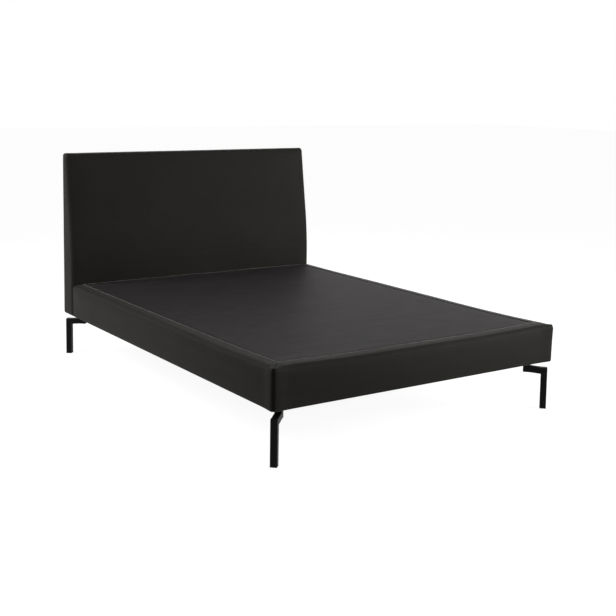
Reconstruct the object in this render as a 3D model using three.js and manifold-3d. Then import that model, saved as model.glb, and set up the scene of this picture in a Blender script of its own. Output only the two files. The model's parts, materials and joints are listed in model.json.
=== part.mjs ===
// A queen-size upholstered bed: a padded box base on four Z-shaped steel legs, with a full-width
// headboard bolted to its head end. Millimetres, +Z up. The origin is on the floor, under the
// middle of the bed; the foot end is at -Y and the headboard at +Y.
import * as THREE from "three";
import { mergeVertices } from "three/addons/utils/BufferGeometryUtils.js";
import Module from "manifold-3d";

const wasm = await Module();
wasm.setup();

// ---------------------------------------------------------------- driving dimensions

const bedWidth = 1550; // over the covers, base and headboard alike
const baseLength = 2047; // foot face to the face of the headboard
const baseHeight = 171;
const groundClearance = 228;
const gap = 0.3; // between neighbours that are sewn, pressed or wrapped together
const holePlay = 0.4; // radial room round a bolt
const cutOver = 1; // a cutting body runs this far past the face that it cuts

// covers and foam of the base
const coverThickness = 2;
const edgeFoam = 13; // on the outside of the rails
const topFoam = 14;
const topRoll = 20; // radius of the padded top edge
const bottomRoll = 6;
const seamInset = 61; // deck seam from the side and foot faces
const headSeamInset = 22; // deck seam from the head end
const hemWidth = 30; // cover turned under and stapled

// timber frame of the base
const railThickness = 24;
const deckBoardThickness = 9;
const slatWidth = 90;
const slatThickness = 20;
const slatCount = 5;
const slatEndPlay = 0.5;
const rebate = 12; // step in the side rails that carries the slat ends
const beamWidth = 45;
const cornerBlock = 100;
const cornerBlockHeight = 60;

// headboard
const headboardRise = 720; // deck to top edge
const headboardDepth = 127; // at the base
const headboardLean = THREE.MathUtils.degToRad(8.2); // slope of the upper face
const bendRadius = 1970; // of the soft bend in the face
const bendRise = 50; // above the deck, where the face leaves the vertical
const headboardTopRoll = 14;
const headboardBackRoll = 12;
const headboardHem = 30;
const headboardFoam = 18;
const faceBoard = 4; // bent plywood under the foam
const backBoard = 4;
const ribThickness = 18;
const bottomRailHeight = 90;
const topRailHeight = 60;

// steel legs
const tube = 30; // square tube
const tubeWall = 2;
const legInset = 22; // centre of the upright from the faces at its corner
const armReach = 98; // centre of the upright to the far face of the stub
const elbowDrop = 31; // top of the arm at its outer end, below the underside of the base
const armRise = 6; // the arm climbs this much towards the stub
const plateSize = 90;
const plateThickness = 5;
const plateOverlap = 75; // head leg plates reach this far under the base
const glideHeight = 4;
const glideRound = 1.5;
const plugLength = 14;
const plugPlay = 0.3;

// fasteners
const boltRadius = 4;
const boltHeadRadius = 8;
const boltHeadHeight = 5;
const boltHeadBevel = 1.6;
const legBoltGrip = 45; // bolt length above the plate
const legBoltOffset = 27;
const headBlockBolt = 50; // head leg bolt into the base, from the joint
const joiningBoltSpread = 900;
const joiningBoltHeight = 62; // above the underside
const joiningBoltGrip = 60; // length inside the headboard's bottom rail

// centre leg
const centreLegTop = 25; // radius
const centreLegFoot = 19;
const centreLegEdge = 2;
const studLength = 35;

// ---------------------------------------------------------------- derived levels and lines

const overallLength = baseLength + headboardDepth;
const footY = -overallLength / 2;
const backY = overallLength / 2;
const jointY = footY + baseLength;
const sideX = bedWidth / 2;
const baseBottom = groundClearance;
const baseTop = baseBottom + baseHeight;
const frameBottom = baseBottom + coverThickness;
const deckBoardTop = baseTop - coverThickness - topFoam;
const railTop = deckBoardTop - deckBoardThickness;
const slatBottom = railTop - slatThickness;
const railInset = coverThickness + edgeFoam;
const railInner = railInset + railThickness;
const frameInset = coverThickness + headboardFoam; // headboard face to the back of the foam
const ribInset = frameInset + faceBoard;
const ribBackY = backY - coverThickness - backBoard;
const headboardHeight = baseTop + headboardRise;
const headboardFrameTop = headboardHeight - frameInset;
const bendStart = baseTop + bendRise;
const bottomRailTop = frameBottom + bottomRailHeight;
const topRailBottom = headboardFrameTop - topRailHeight;
const ribOuterX = sideX - coverThickness;
const ribInnerX = ribOuterX - ribThickness;
const plateBottom = baseBottom - plateThickness;
const elbowHeight = baseBottom - elbowDrop;
const stubAcross = armReach - tube / 2; // upright centre to stub centre, on the diagonal
const stubInset = legInset + stubAcross * Math.SQRT1_2; // stub centre from the faces
const joiningBoltZ = baseBottom + joiningBoltHeight;

// ---------------------------------------------------------------- materials

const finish = (color, roughness, metalness = 0) => ({ color, roughness, metalness });
const materials = {
  leather: finish(0x2b2a28, 0.5),
  deckCloth: finish(0x3c3b3d, 0.9),
  lining: finish(0x1d1d1d, 0.95),
  timber: finish(0xc9a877, 0.75),
  plywood: finish(0xbf9b66, 0.7),
  hardboard: finish(0x7d5a3a, 0.8),
  foam: finish(0xe6dfc6, 0.95),
  blackSteel: finish(0x141414, 0.45, 0.6),
  zincSteel: finish(0x9a9c9e, 0.35, 0.9),
  plastic: finish(0x101010, 0.6),
};

// ---------------------------------------------------------------- shaping

// A three.js geometry as a closed manifold solid.
function solid(geometry) {
  const plain = geometry.clone();
  plain.deleteAttribute("normal");
  plain.deleteAttribute("uv");
  const merged = mergeVertices(plain, 1e-4);
  const vertProperties = merged.attributes.position.array;
  const triVerts = new Uint32Array(merged.index.array);
  return new wasm.Manifold(new wasm.Mesh({ numProp: 3, vertProperties, triVerts }));
}

// A box from its lowest to its highest corner.
function box(x0, x1, y0, y1, z0, z1) {
  const geometry = new THREE.BoxGeometry(x1 - x0, y1 - y0, z1 - z0);
  return solid(geometry.translate((x0 + x1) / 2, (y0 + y1) / 2, (z0 + z1) / 2));
}

// The same box, mirrored about the bed's long centre line: side is -1 or 1, x counts outwards.
function sideBox(side, x0, x1, y0, y1, z0, z1) {
  const ends = [side * x0, side * x1].sort((a, b) => a - b);
  return box(...ends, y0, y1, z0, z1);
}

// An outline through corners [x, y, radius], each rounded by its radius if it has one.
function outline(corners, arcSteps = 6) {
  const points = [];
  corners.forEach(([x, y, radius = 0], i) => {
    const corner = new THREE.Vector2(x, y);
    if (radius <= 0) {
      points.push(corner);
      return;
    }
    const [previous, next] = [corners.at(i - 1), corners[(i + 1) % corners.length]];
    const before = new THREE.Vector2(previous[0], previous[1]).sub(corner).normalize();
    const after = new THREE.Vector2(next[0], next[1]).sub(corner).normalize();
    const half = Math.acos(before.dot(after)) / 2;
    const bisector = before.clone().add(after).normalize();
    const centre = corner.clone().addScaledVector(bisector, radius / Math.sin(half));
    const start = corner.clone().addScaledVector(before, radius / Math.tan(half)).sub(centre);
    const turn = Math.PI - 2 * half;
    const side = Math.sign(before.cross(after)) || 1;
    for (let step = 0; step <= arcSteps; step += 1) {
      const spoke = start.clone().rotateAround(new THREE.Vector2(), (-side * turn * step) / arcSteps);
      points.push(spoke.add(centre));
    }
  });
  return new THREE.Shape(points);
}

const extrude = (shape, depth) => new THREE.ExtrudeGeometry(shape, { depth, bevelEnabled: false });

// An upright prism over a plan outline (x, y).
function prismUp(shape, z0, z1) {
  return solid(extrude(shape, z1 - z0).translate(0, 0, z0));
}

// A bar along Y with an end outline (x, z).
function prismAlongY(shape, y0, y1) {
  return solid(extrude(shape, y1 - y0).rotateX(Math.PI / 2).translate(0, y1, 0));
}

// A bar along X with an end outline (y, z).
function prismAlongX(shape, x0, x1) {
  const geometry = extrude(shape, x1 - x0).rotateX(Math.PI / 2).rotateZ(Math.PI / 2);
  return solid(geometry.translate(x0, 0, 0));
}

// A round body about a vertical axis from its half outline [radius, height].
function turned(points, segments = 20) {
  const profile = points.map(([radius, height]) => new THREE.Vector2(radius, height));
  return new THREE.LatheGeometry(profile, segments).rotateX(Math.PI / 2);
}

// ---------------------------------------------------------------- the parts tray

const bed = new THREE.Group();
bed.name = "upholstered_bed";
const groups = {};
for (const name of ["base", "headboard", "legs"]) {
  groups[name] = new THREE.Group();
  bed.add(groups[name]);
}

// Adds a finished solid to a group as a named mesh.
function add(group, name, body, material) {
  const { vertProperties, triVerts } = body.getMesh();
  const geometry = new THREE.BufferGeometry();
  geometry.setAttribute("position", new THREE.BufferAttribute(new Float32Array(vertProperties), 3));
  geometry.setIndex(new THREE.BufferAttribute(new Uint32Array(triVerts), 1));
  geometry.computeVertexNormals();
  const mesh = new THREE.Mesh(geometry, new THREE.MeshStandardMaterial(materials[material]));
  mesh.name = name;
  groups[group].add(mesh);
}

// ---------------------------------------------------------------- bolts and their holes

const corners = [
  { name: "foot_left", x: -1, y: -1 },
  { name: "foot_right", x: 1, y: -1 },
  { name: "head_left", x: -1, y: 1 },
  { name: "head_right", x: 1, y: 1 },
];

// Centre of a leg's stub in plan.
const stubX = (corner) => corner.x * (sideX - stubInset);
const stubY = (corner) => (corner.y < 0 ? footY + stubInset : backY - stubInset);

// The two bolts of each leg: foot legs have both in the base's corner block, head legs have one
// in the headboard and one in the base, so that the plate ties the two together.
function legBolts(corner) {
  const [x, y] = [stubX(corner), stubY(corner)];
  const [dx, dy] = [corner.x * legBoltOffset, corner.y * legBoltOffset];
  const nearEnd = { x: x - dx, y: y + dy };
  const nearSide = { x: x + dx, y: y - dy };
  const tie = { x, y: jointY - headBlockBolt };
  return corner.y < 0 ? [nearEnd, nearSide] : [nearEnd, tie];
}

// A button-head bolt: the head's underside is at height 0 and the shank points up.
function boltBody(length) {
  return turned([
    [0, -boltHeadHeight],
    [boltHeadRadius - boltHeadBevel, -boltHeadHeight],
    [boltHeadRadius, -boltHeadHeight + boltHeadBevel],
    [boltHeadRadius, 0],
    [boltRadius, 0],
    [boltRadius, length],
    [0, length],
  ]);
}

function holeBody(length) {
  const radius = boltRadius + holePlay;
  return turned([[0, 0], [radius, 0], [radius, length], [0, length]]);
}

const uprightBolt = (geometry, { x, y }) => geometry.translate(x, y, plateBottom);
const joiningBoltStart = jointY - railInner;
const joiningBoltLength = railInner + ribInset + joiningBoltGrip;
const levelBolt = (geometry, side) => {
  const x = (side * joiningBoltSpread) / 2;
  return geometry.rotateX(-Math.PI / 2).translate(x, joiningBoltStart, joiningBoltZ);
};

const legBoltLength = plateThickness + legBoltGrip;
const baseMiddleY = (footY + jointY) / 2;
let holes = solid(holeBody(studLength + cutOver).translate(0, baseMiddleY, baseBottom));
for (const corner of corners) {
  for (const place of legBolts(corner)) {
    holes = holes.add(solid(uprightBolt(holeBody(legBoltLength + cutOver), place)));
  }
}
for (const side of [-1, 1]) {
  holes = holes.add(solid(levelBolt(holeBody(joiningBoltLength + cutOver), side)));
}
const drilled = (body) => body.subtract(holes);

corners.forEach((corner) => {
  legBolts(corner).forEach((place, i) => {
    const body = solid(uprightBolt(boltBody(legBoltLength), place));
    add("legs", `leg_bolt_${corner.name}_${i + 1}`, body, "zincSteel");
  });
});
for (const [side, name] of [[-1, "left"], [1, "right"]]) {
  const body = solid(levelBolt(boltBody(joiningBoltLength), side));
  add("headboard", `joining_bolt_${name}`, body, "zincSteel");
}

// ---------------------------------------------------------------- base frame

const railFootY = footY + railInset;
const railHeadY = jointY - railInset;
const bayFootY = footY + railInner;
const bayHeadY = jointY - railInner;
const bayX = sideX - railInner;
const railX = sideX - railInset;

for (const [side, name] of [[-1, "left"], [1, "right"]]) {
  const plank = sideBox(side, bayX, railX, railFootY, railHeadY, frameBottom, railTop);
  const stepInner = bayX - cutOver;
  const step = sideBox(side, stepInner, bayX + rebate, bayFootY, bayHeadY, slatBottom, railTop + cutOver);
  add("base", `base_side_rail_${name}`, plank.subtract(step), "timber");
}
add("base", "base_foot_rail", box(-bayX, bayX, railFootY, bayFootY, frameBottom, railTop), "timber");
const headRail = box(-bayX, bayX, bayHeadY, railHeadY, frameBottom, railTop);
add("base", "base_head_rail", drilled(headRail), "timber");
const beam = box(-beamWidth / 2, beamWidth / 2, bayFootY, bayHeadY, frameBottom, slatBottom);
add("base", "base_centre_beam", drilled(beam), "timber");

const slatEnd = bayX + rebate - slatEndPlay;
const slatPitch = (bayHeadY - bayFootY) / (slatCount + 1);
for (let i = 1; i <= slatCount; i += 1) {
  const y = bayFootY + i * slatPitch;
  const slat = box(-slatEnd, slatEnd, y - slatWidth / 2, y + slatWidth / 2, slatBottom, railTop);
  add("base", `base_slat_${i}`, slat, "timber");
}

for (const corner of corners) {
  const y0 = corner.y < 0 ? bayFootY : bayHeadY - cornerBlock;
  const top = frameBottom + cornerBlockHeight;
  const inner = bayX - cornerBlock;
  const block = sideBox(corner.x, inner, bayX, y0, y0 + cornerBlock, frameBottom, top);
  add("base", `base_corner_block_${corner.name}`, drilled(block), "timber");
}

const middleY = (bayFootY + bayHeadY) / 2;
const boards = [["foot", railFootY, middleY], ["head", middleY, railHeadY]];
for (const [name, y0, y1] of boards) {
  add("base", `deck_board_${name}`, box(-railX, railX, y0, y1, railTop, deckBoardTop), "plywood");
}

// ---------------------------------------------------------------- base upholstery

// The padded box of the base, a stated depth below its outer surface.
function baseBlock(depth) {
  const [low, high] = [baseBottom + depth, baseTop - depth];
  const [topRadius, bottomRadius] = [topRoll - depth, bottomRoll - depth];
  const section = (u0, u1) =>
    outline([
      [u0, low, bottomRadius],
      [u1, low, bottomRadius],
      [u1, high, topRadius],
      [u0, high, topRadius],
    ]);
  const [x, y0, y1] = [sideX - depth, footY + depth, jointY - depth];
  const across = prismAlongY(section(-x, x), y0, y1);
  return across.intersect(prismAlongX(section(y0, y1), -x, x));
}

// The rectangle inside the deck seam, made smaller by a stated play.
function deckPanel(play, z0, z1) {
  const x = sideX - seamInset - play;
  return box(-x, x, footY + seamInset + play, jointY - headSeamInset - play, z0, z1);
}

// The four strips that meet in mitres, on the lines from the outer corners of the base through the
// corners of the deck seam. They reach inwards past the turned-under hems.
function mitreWedges(z0, z1) {
  const outer = { x: sideX, foot: footY, head: jointY };
  const inner = { x: sideX - seamInset, foot: footY + seamInset, head: jointY - headSeamInset };
  const onMitre = (end, side, along) => [
    side * (outer.x + (inner.x - outer.x) * along),
    outer[end] + (inner[end] - outer[end]) * along,
  ];
  const outside = -cutOver / headSeamInset;
  const inside = 1 + hemWidth / headSeamInset;
  const wedge = (a, b) => [
    onMitre(...a, outside),
    onMitre(...a, inside),
    onMitre(...b, inside),
    onMitre(...b, outside),
  ];
  const [footLeft, footRight] = [["foot", -1], ["foot", 1]];
  const [headLeft, headRight] = [["head", -1], ["head", 1]];
  const strips = {
    left: { plan: wedge(footLeft, headLeft), shift: [-gap, 0, 0] },
    right: { plan: wedge(footRight, headRight), shift: [gap, 0, 0] },
    foot: { plan: wedge(footLeft, footRight), shift: [0, -gap, 0] },
    head: { plan: wedge(headLeft, headRight), shift: [0, gap, 0] },
  };
  return Object.entries(strips).map(([name, { plan, shift }]) => {
    return [name, prismUp(outline(plan), z0, z1).translate(shift)];
  });
}

// The rectangle inside the hems on the underside, made smaller by a stated play.
function underPanel(play, z0, z1) {
  const [x, inset] = [sideX - hemWidth - play, hemWidth + play];
  return box(-x, x, footY + inset, jointY - inset, z0, z1);
}

const [belowBase, aboveBase] = [baseBottom - cutOver, baseTop + cutOver];
const skin = drilled(baseBlock(0).subtract(baseBlock(coverThickness)));
const deckHole = deckPanel(0, deckBoardTop - cutOver, aboveBase);
const openSkin = skin.subtract(deckHole).subtract(underPanel(0, belowBase, frameBottom + cutOver));
const frameBody = box(-railX, railX, railFootY, railHeadY, belowBase, deckBoardTop);
const edgePadding = drilled(baseBlock(coverThickness + gap).subtract(frameBody)).subtract(deckHole);
for (const [name, wedge] of mitreWedges(belowBase, aboveBase)) {
  add("base", `edge_foam_${name}`, edgePadding.intersect(wedge), "foam");
  add("base", `cover_${name}`, openSkin.intersect(wedge), "leather");
}
add("base", "deck_pad", deckPanel(gap, deckBoardTop, baseTop - coverThickness), "foam");
add("base", "deck_cloth", deckPanel(gap, baseTop - coverThickness, baseTop), "deckCloth");
add("base", "base_dust_cover", drilled(underPanel(gap, baseBottom, frameBottom)), "lining");

// ---------------------------------------------------------------- headboard

// The face line at a stated depth below the outer surface, from height z0 up to height z1:
// upright, then a soft bend, then a straight slope.
function faceLine(depth, z0, z1, bendSteps = 10) {
  const radius = bendRadius - depth;
  const points = [[jointY + depth, z0]];
  for (let step = 0; step <= bendSteps; step += 1) {
    const angle = (headboardLean * step) / bendSteps;
    const [back, up] = [bendRadius - radius * Math.cos(angle), radius * Math.sin(angle)];
    points.push([jointY + back, bendStart + up]);
  }
  const [y, z] = points.at(-1);
  points.push([y + (z1 - z) * Math.tan(headboardLean), z1]);
  return points;
}

// The headboard's whole side outline, a stated depth below its outer surface.
function headboardOutline(depth) {
  const face = faceLine(depth, baseBottom + depth, headboardHeight - depth);
  face.at(0).push(bottomRoll - depth);
  face.at(-1).push(headboardTopRoll - depth);
  return outline([
    ...face,
    [backY - depth, headboardHeight - depth, headboardBackRoll - depth],
    [backY - depth, baseBottom + depth, headboardBackRoll - depth],
  ]);
}

// What lies behind the face line at a stated depth, out to the line y1, between two heights.
function behindFace(depth, [x0, x1], [z0, z1], y1 = ribBackY) {
  const [low, high] = [baseBottom - cutOver, headboardHeight + cutOver];
  const side = outline([...faceLine(depth, low, high), [y1, high], [y1, low]]);
  const [left, right] = [x0 - cutOver, x1 + cutOver];
  return prismAlongX(side, x0, x1).intersect(box(left, right, footY, y1 + cutOver, z0, z1));
}

const headboardBody = (depth, x) => prismAlongX(headboardOutline(depth), -x, x);
const innerBody = headboardBody(coverThickness + gap, ribOuterX);
const seat = (body) => drilled(body.intersect(innerBody));

const frameHeight = [baseBottom, headboardFrameTop];
for (const [name, x] of [["left", -ribOuterX], ["right", ribInnerX]]) {
  const rib = behindFace(ribInset, [x, x + ribThickness], frameHeight);
  add("headboard", `headboard_rib_${name}`, seat(rib), "plywood");
}
const middleRib = [-ribThickness / 2, ribThickness / 2];
const centreRib = behindFace(ribInset, middleRib, [bottomRailTop, topRailBottom]);
add("headboard", "headboard_rib_centre", seat(centreRib), "plywood");
const betweenRibs = [-ribInnerX, ribInnerX];
const bottomRail = behindFace(ribInset, betweenRibs, [frameBottom, bottomRailTop]);
add("headboard", "headboard_bottom_rail", seat(bottomRail), "timber");
const topRail = behindFace(ribInset, betweenRibs, [topRailBottom, headboardFrameTop]);
add("headboard", "headboard_top_rail", seat(topRail), "timber");

const acrossRibs = [-ribOuterX, ribOuterX];
const beyond = [-sideX, sideX];
const boardBody = behindFace(frameInset, acrossRibs, frameHeight, backY);
const boardCore = behindFace(ribInset, beyond, [belowBase, headboardHeight], backY + cutOver);
add("headboard", "headboard_face_board", seat(boardBody.subtract(boardCore)), "plywood");
const backSheet = box(...acrossRibs, ribBackY, backY, ...frameHeight);
add("headboard", "headboard_back_board", seat(backSheet), "hardboard");
const foamBack = [belowBase, headboardFrameTop + gap];
const foamCore = behindFace(frameInset - gap, beyond, foamBack, backY + cutOver);
add("headboard", "headboard_foam", drilled(innerBody.subtract(foamCore)), "foam");

const sleeveCore = headboardBody(coverThickness, sideX + cutOver);
const sleeve = drilled(headboardBody(0, sideX).subtract(sleeveCore));

// Where the back cloth goes: the back below the turned-over hem, and the underside behind the hem.
function backWindow(play) {
  const [x, y1, inset] = [sideX + cutOver, backY + cutOver, headboardHem + play];
  const under = box(-x, x, jointY + inset, y1, belowBase, baseBottom + headboardBackRoll);
  const rear = box(-x, x, backY - headboardBackRoll, y1, belowBase, headboardHeight - inset);
  return under.add(rear);
}

add("headboard", "headboard_front_cover", sleeve.subtract(backWindow(0)), "leather");
add("headboard", "headboard_back_cloth", sleeve.intersect(backWindow(gap)), "lining");
for (const [name, x] of [["left", -sideX], ["right", ribOuterX]]) {
  const panel = prismAlongX(headboardOutline(coverThickness + gap), x, x + coverThickness);
  add("headboard", `headboard_side_cover_${name}`, panel, "leather");
}

// ---------------------------------------------------------------- legs

// The Z of a leg as an outline on its diagonal plane (distance from the upright's centre, height),
// drawn a wall thickness inside the tube's faces if asked.
function legOutline(wall, foot, top) {
  const half = tube / 2;
  const slope = armRise / (armReach - tube);
  const armTop = (across) => elbowHeight + slope * (across + half) - wall;
  const armBottom = (across) => armTop(across) - tube + 2 * wall;
  return outline([
    [-half + wall, foot],
    [-half + wall, armTop(-half + wall)],
    [armReach - tube + wall, armTop(armReach - tube + wall)],
    [armReach - tube + wall, top],
    [armReach - wall, top],
    [armReach - wall, armBottom(armReach - wall)],
    [half - wall, armBottom(half - wall)],
    [half - wall, foot],
  ]);
}

// Turns a piece made on the diagonal plane to its corner of the bed.
function atCorner(geometry, corner) {
  const heading = Math.atan2(-corner.y, -corner.x);
  const y = corner.y < 0 ? footY + legInset : backY - legInset;
  return solid(geometry.rotateZ(heading).translate(corner.x * (sideX - legInset), y, 0));
}

function legTube(wall, foot, top) {
  const width = tube - 2 * wall;
  const geometry = extrude(legOutline(wall, foot, top), width);
  return geometry.rotateX(Math.PI / 2).translate(0, width / 2, 0);
}

function legPlate(corner) {
  const [x, y, half] = [stubX(corner), stubY(corner), plateSize / 2];
  const y0 = corner.y < 0 ? y - half : jointY - plateOverlap;
  return box(x - half, x + half, y0, y + half, plateBottom, baseBottom);
}

// A plastic glide: a pad with rounded edges under the tube's end, and a square plug up inside it.
function glideBody(corner) {
  const square = (half) => outline([[-half, -half], [half, -half], [half, half], [-half, half]]);
  const rounded = {
    depth: glideHeight,
    bevelThickness: glideRound,
    bevelSize: glideRound,
    bevelSegments: 3,
  };
  const padHalf = tube / 2 - glideRound;
  const pad = new THREE.ExtrudeGeometry(square(padHalf), rounded).translate(0, 0, glideRound);
  const cropSize = tube + 2 * cutOver;
  const crop = new THREE.BoxGeometry(cropSize, cropSize, glideHeight);
  crop.translate(0, 0, glideHeight / 2);
  const plugHalf = tube / 2 - tubeWall - plugPlay;
  const plug = extrude(square(plugHalf), glideHeight / 2 + plugLength);
  plug.translate(0, 0, glideHeight / 2);
  return atCorner(pad, corner).intersect(atCorner(crop, corner)).add(atCorner(plug, corner));
}

for (const corner of corners) {
  const outside = atCorner(legTube(0, glideHeight, plateBottom + cutOver), corner);
  const inside = atCorner(legTube(tubeWall, glideHeight - cutOver, plateBottom), corner);
  const leg = drilled(outside.add(legPlate(corner)).subtract(inside));
  add("legs", `leg_${corner.name}`, leg, "blackSteel");
  add("legs", `glide_${corner.name}`, glideBody(corner), "plastic");
}

const centreLeg = turned([
  [0, 0],
  [centreLegFoot - centreLegEdge, 0],
  [centreLegFoot, centreLegEdge],
  [centreLegTop, baseBottom - centreLegEdge],
  [centreLegTop - centreLegEdge, baseBottom],
  [boltRadius, baseBottom],
  [boltRadius, baseBottom + studLength],
  [0, baseBottom + studLength],
]);
add("legs", "centre_leg", solid(centreLeg.translate(0, baseMiddleY, 0)), "plastic");

export default bed;
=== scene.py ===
"""An upholstered double bed without its mattress: a leather-covered box base on four bent steel
legs, and a leather-covered headboard bolted to its head end. Metres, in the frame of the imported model.
"""

import json
import math

import bpy
import numpy as np
from mathutils import Matrix, Vector


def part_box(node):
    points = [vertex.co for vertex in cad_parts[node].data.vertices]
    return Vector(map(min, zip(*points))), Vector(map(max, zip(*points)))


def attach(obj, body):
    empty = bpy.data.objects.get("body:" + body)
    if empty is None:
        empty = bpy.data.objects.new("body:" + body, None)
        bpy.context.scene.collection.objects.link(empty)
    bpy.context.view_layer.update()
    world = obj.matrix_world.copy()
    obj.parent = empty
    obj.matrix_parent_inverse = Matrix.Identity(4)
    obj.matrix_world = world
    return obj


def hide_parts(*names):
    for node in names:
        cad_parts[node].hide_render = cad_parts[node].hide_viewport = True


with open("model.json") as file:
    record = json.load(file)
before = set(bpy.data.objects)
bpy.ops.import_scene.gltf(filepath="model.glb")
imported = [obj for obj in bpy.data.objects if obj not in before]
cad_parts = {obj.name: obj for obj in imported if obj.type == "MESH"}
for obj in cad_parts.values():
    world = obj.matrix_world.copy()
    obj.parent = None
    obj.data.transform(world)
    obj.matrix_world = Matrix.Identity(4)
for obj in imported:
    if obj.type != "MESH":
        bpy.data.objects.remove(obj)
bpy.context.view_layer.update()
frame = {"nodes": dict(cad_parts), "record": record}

# ---------------------------------------------------------------- frame: timber and boards
# Under the leather: a softwood box with five slats, a birch plywood deck in two halves, and a hollow
# headboard of ribs, rails and thin boards. Screwed and glued; covers and linings close it all round.


def new_finish(name):
    """Starts a finish: gives its material, its shader and the place on the piece."""
    material = bpy.data.materials.new(name)
    material.use_nodes = True
    nodes = material.node_tree.nodes
    return material, nodes["Principled BSDF"], nodes.new("ShaderNodeTexCoord").outputs["Object"]


def feed(node, inputs):
    """Sets a node's inputs, each to a value or to what another node gives."""
    for name, source in inputs.items():
        if isinstance(source, bpy.types.NodeSocket):
            node.id_data.links.new(source, node.inputs[name])
        else:
            node.inputs[name].default_value = source


def add(near, kind, output, inputs, **settings):
    """Adds a node to the tree that near is in, sets it up and gives one of its outputs."""
    node = near.id_data.nodes.new("ShaderNode" + kind)
    for name, setting in settings.items():
        setattr(node, name, setting)
    feed(node, inputs)
    return node.outputs[output]


def noise(where, scale, detail=2.0, **more):
    return add(where, "TexNoise", "Fac", {"Vector": where, "Scale": scale, "Detail": detail, **more})


def shades(pattern, dark, light, first=0.0, last=1.0):
    """Colours a pattern: dark up to its first value, light from its last one."""
    ramp = pattern.id_data.nodes.new("ShaderNodeValToRGB")
    for stop, place, colour in zip(ramp.color_ramp.elements, (first, last), (dark, light)):
        stop.position = place
        stop.color = (*colour, 1)
    feed(ramp, {"Fac": pattern})
    return ramp.outputs["Color"]


def between(pattern, low, high):
    return add(pattern, "MapRange", "Result", {"Value": pattern, "To Min": low, "To Max": high})


def relief(height, depth, strength=1.0, **more):
    """Raises the surface by a pattern, up to a depth in metres."""
    inputs = {"Height": height, "Distance": depth, "Strength": strength, **more}
    return add(height, "Bump", "Normal", inputs)


band_width = 0.31416  # of a wave pattern at scale 1
grain_stretch = 0.06


def wood(name, light, dark, along, ring_pitch, layered=0.0):
    """Timber with its grain along one axis; layered gives plywood its stripes, in metres."""
    material, shader, where = new_finish(name)
    stretch = [grain_stretch if i == along else 1.0 for i in range(3)]
    lengthwise = add(where, "Mapping", "Vector", {"Vector": where, "Scale": stretch})
    fibre = noise(lengthwise, 1 / ring_pitch, detail=6.0, Distortion=0.8)
    colour = shades(fibre, dark, light, first=0.35, last=0.62)
    if layered:
        bands = {"Vector": where, "Scale": band_width / layered}
        plies = add(where, "TexWave", "Fac", bands, bands_direction="Z")
        layers = {"Factor": plies, "A": colour, "B": (*dark, 1)}
        colour = add(where, "Mix", "Result", layers, data_type="RGBA")
    look = {
        "Base Color": colour,
        "Specular IOR Level": 0.3,
        "Roughness": between(fibre, 0.62, 0.78),
        "Normal": relief(fibre, 0.0004, strength=0.3),
    }
    feed(shader, look)
    return material


def open_cell_foam():
    material, shader, where = new_finish("grey_foam")
    pores = add(where, "TexVoronoi", "Distance", {"Vector": where, "Scale": 700.0})
    look = {
        "Base Color": shades(pores, (0.16, 0.16, 0.155), (0.30, 0.30, 0.29)),
        "Roughness": 0.95,
        "Normal": relief(pores, 0.0006),
    }
    feed(shader, look)
    return material


def plated_steel():
    material, shader, where = new_finish("zinc_plated_steel")
    bloom = noise(where, 260.0, detail=4.0)
    look = {
        "Base Color": shades(bloom, (0.34, 0.35, 0.37), (0.52, 0.53, 0.54)),
        "Metallic": 1.0,
        "Roughness": between(bloom, 0.28, 0.45),
    }
    feed(shader, look)
    return material


def clad(node, material):
    """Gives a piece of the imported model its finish."""
    slots = frame["nodes"][node].data.materials
    slots.clear()
    slots.append(material)


pine = (0.52, 0.36, 0.20), (0.36, 0.21, 0.10)
birch = (0.58, 0.44, 0.28), (0.44, 0.30, 0.17)
foam = open_cell_foam()
zinc = plated_steel()
timber = [wood(f"pine_along_{axis}", *pine, i, 0.010) for i, axis in enumerate("xyz")]
plywood = wood("birch_plywood", *birch, 0, 0.014, layered=0.003)
hardboard = wood("hardboard", (0.20, 0.12, 0.065), (0.13, 0.075, 0.04), 2, 0.003)
inner = {"plywood": plywood, "hardboard": hardboard, "foam": foam, "bolt_steel": zinc}
for part in frame["record"]["subparts"]:
    node, slot = part["node"], part["material_slot"]
    if slot == "timber":
        low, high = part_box(node)
        inner["timber"] = timber[max(range(3), key=lambda i: high[i] - low[i])]
    if slot in inner:
        clad(node, inner[slot])

# ---------------------------------------------------------------- dark leather
# Matt-finished upholstery hide, nearly black: fine pebbled grain, slightly uneven dye, and a low
# satin gloss that is a little higher on the pebbles than in the valleys between them. The valleys
# are painted darker, as shade.


def leather():
    material, shader, where = new_finish("dark_leather")
    dye = noise(where, 3.2, detail=4.0)
    tone = shades(dye, (0.0242, 0.0226, 0.0196), (0.0298, 0.0279, 0.0244), first=0.35, last=0.65)
    cells = {"Vector": where, "Scale": 520.0, "Randomness": 0.9}
    edges = add(where, "TexVoronoi", "Distance", cells, feature="DISTANCE_TO_EDGE")
    pebble = add(where, "MapRange", "Result", {"Value": edges, "From Max": 0.22})
    # painted shade: the valleys between the pebbles get a darker colour than the pebbles
    valley_shade = {"Factor": pebble, "A": (0.0124, 0.0115, 0.0100, 1), "B": tone}
    crease = relief(noise(where, 38.0, detail=5.0), 0.002, strength=0.18)
    look = {
        "Base Color": add(where, "Mix", "Result", valley_shade, data_type="RGBA"),
        "Specular IOR Level": 0.06,
        "Roughness": between(pebble, 0.62, 0.54),
        "Sheen Weight": 0.08,
        "Sheen Roughness": 0.3,
        "Normal": relief(pebble, 0.0004, strength=0.30, Normal=crease),
    }
    feed(shader, look)
    return material


dark_leather = leather()

# ---------------------------------------------------------------- base: block of padding
# The timber box under 13 mm of foam, wrapped tight. Its top edge is a fat soft roll, the sides
# swell a little between the deck seam and the hem, and the four upright corners are sewn.

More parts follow.
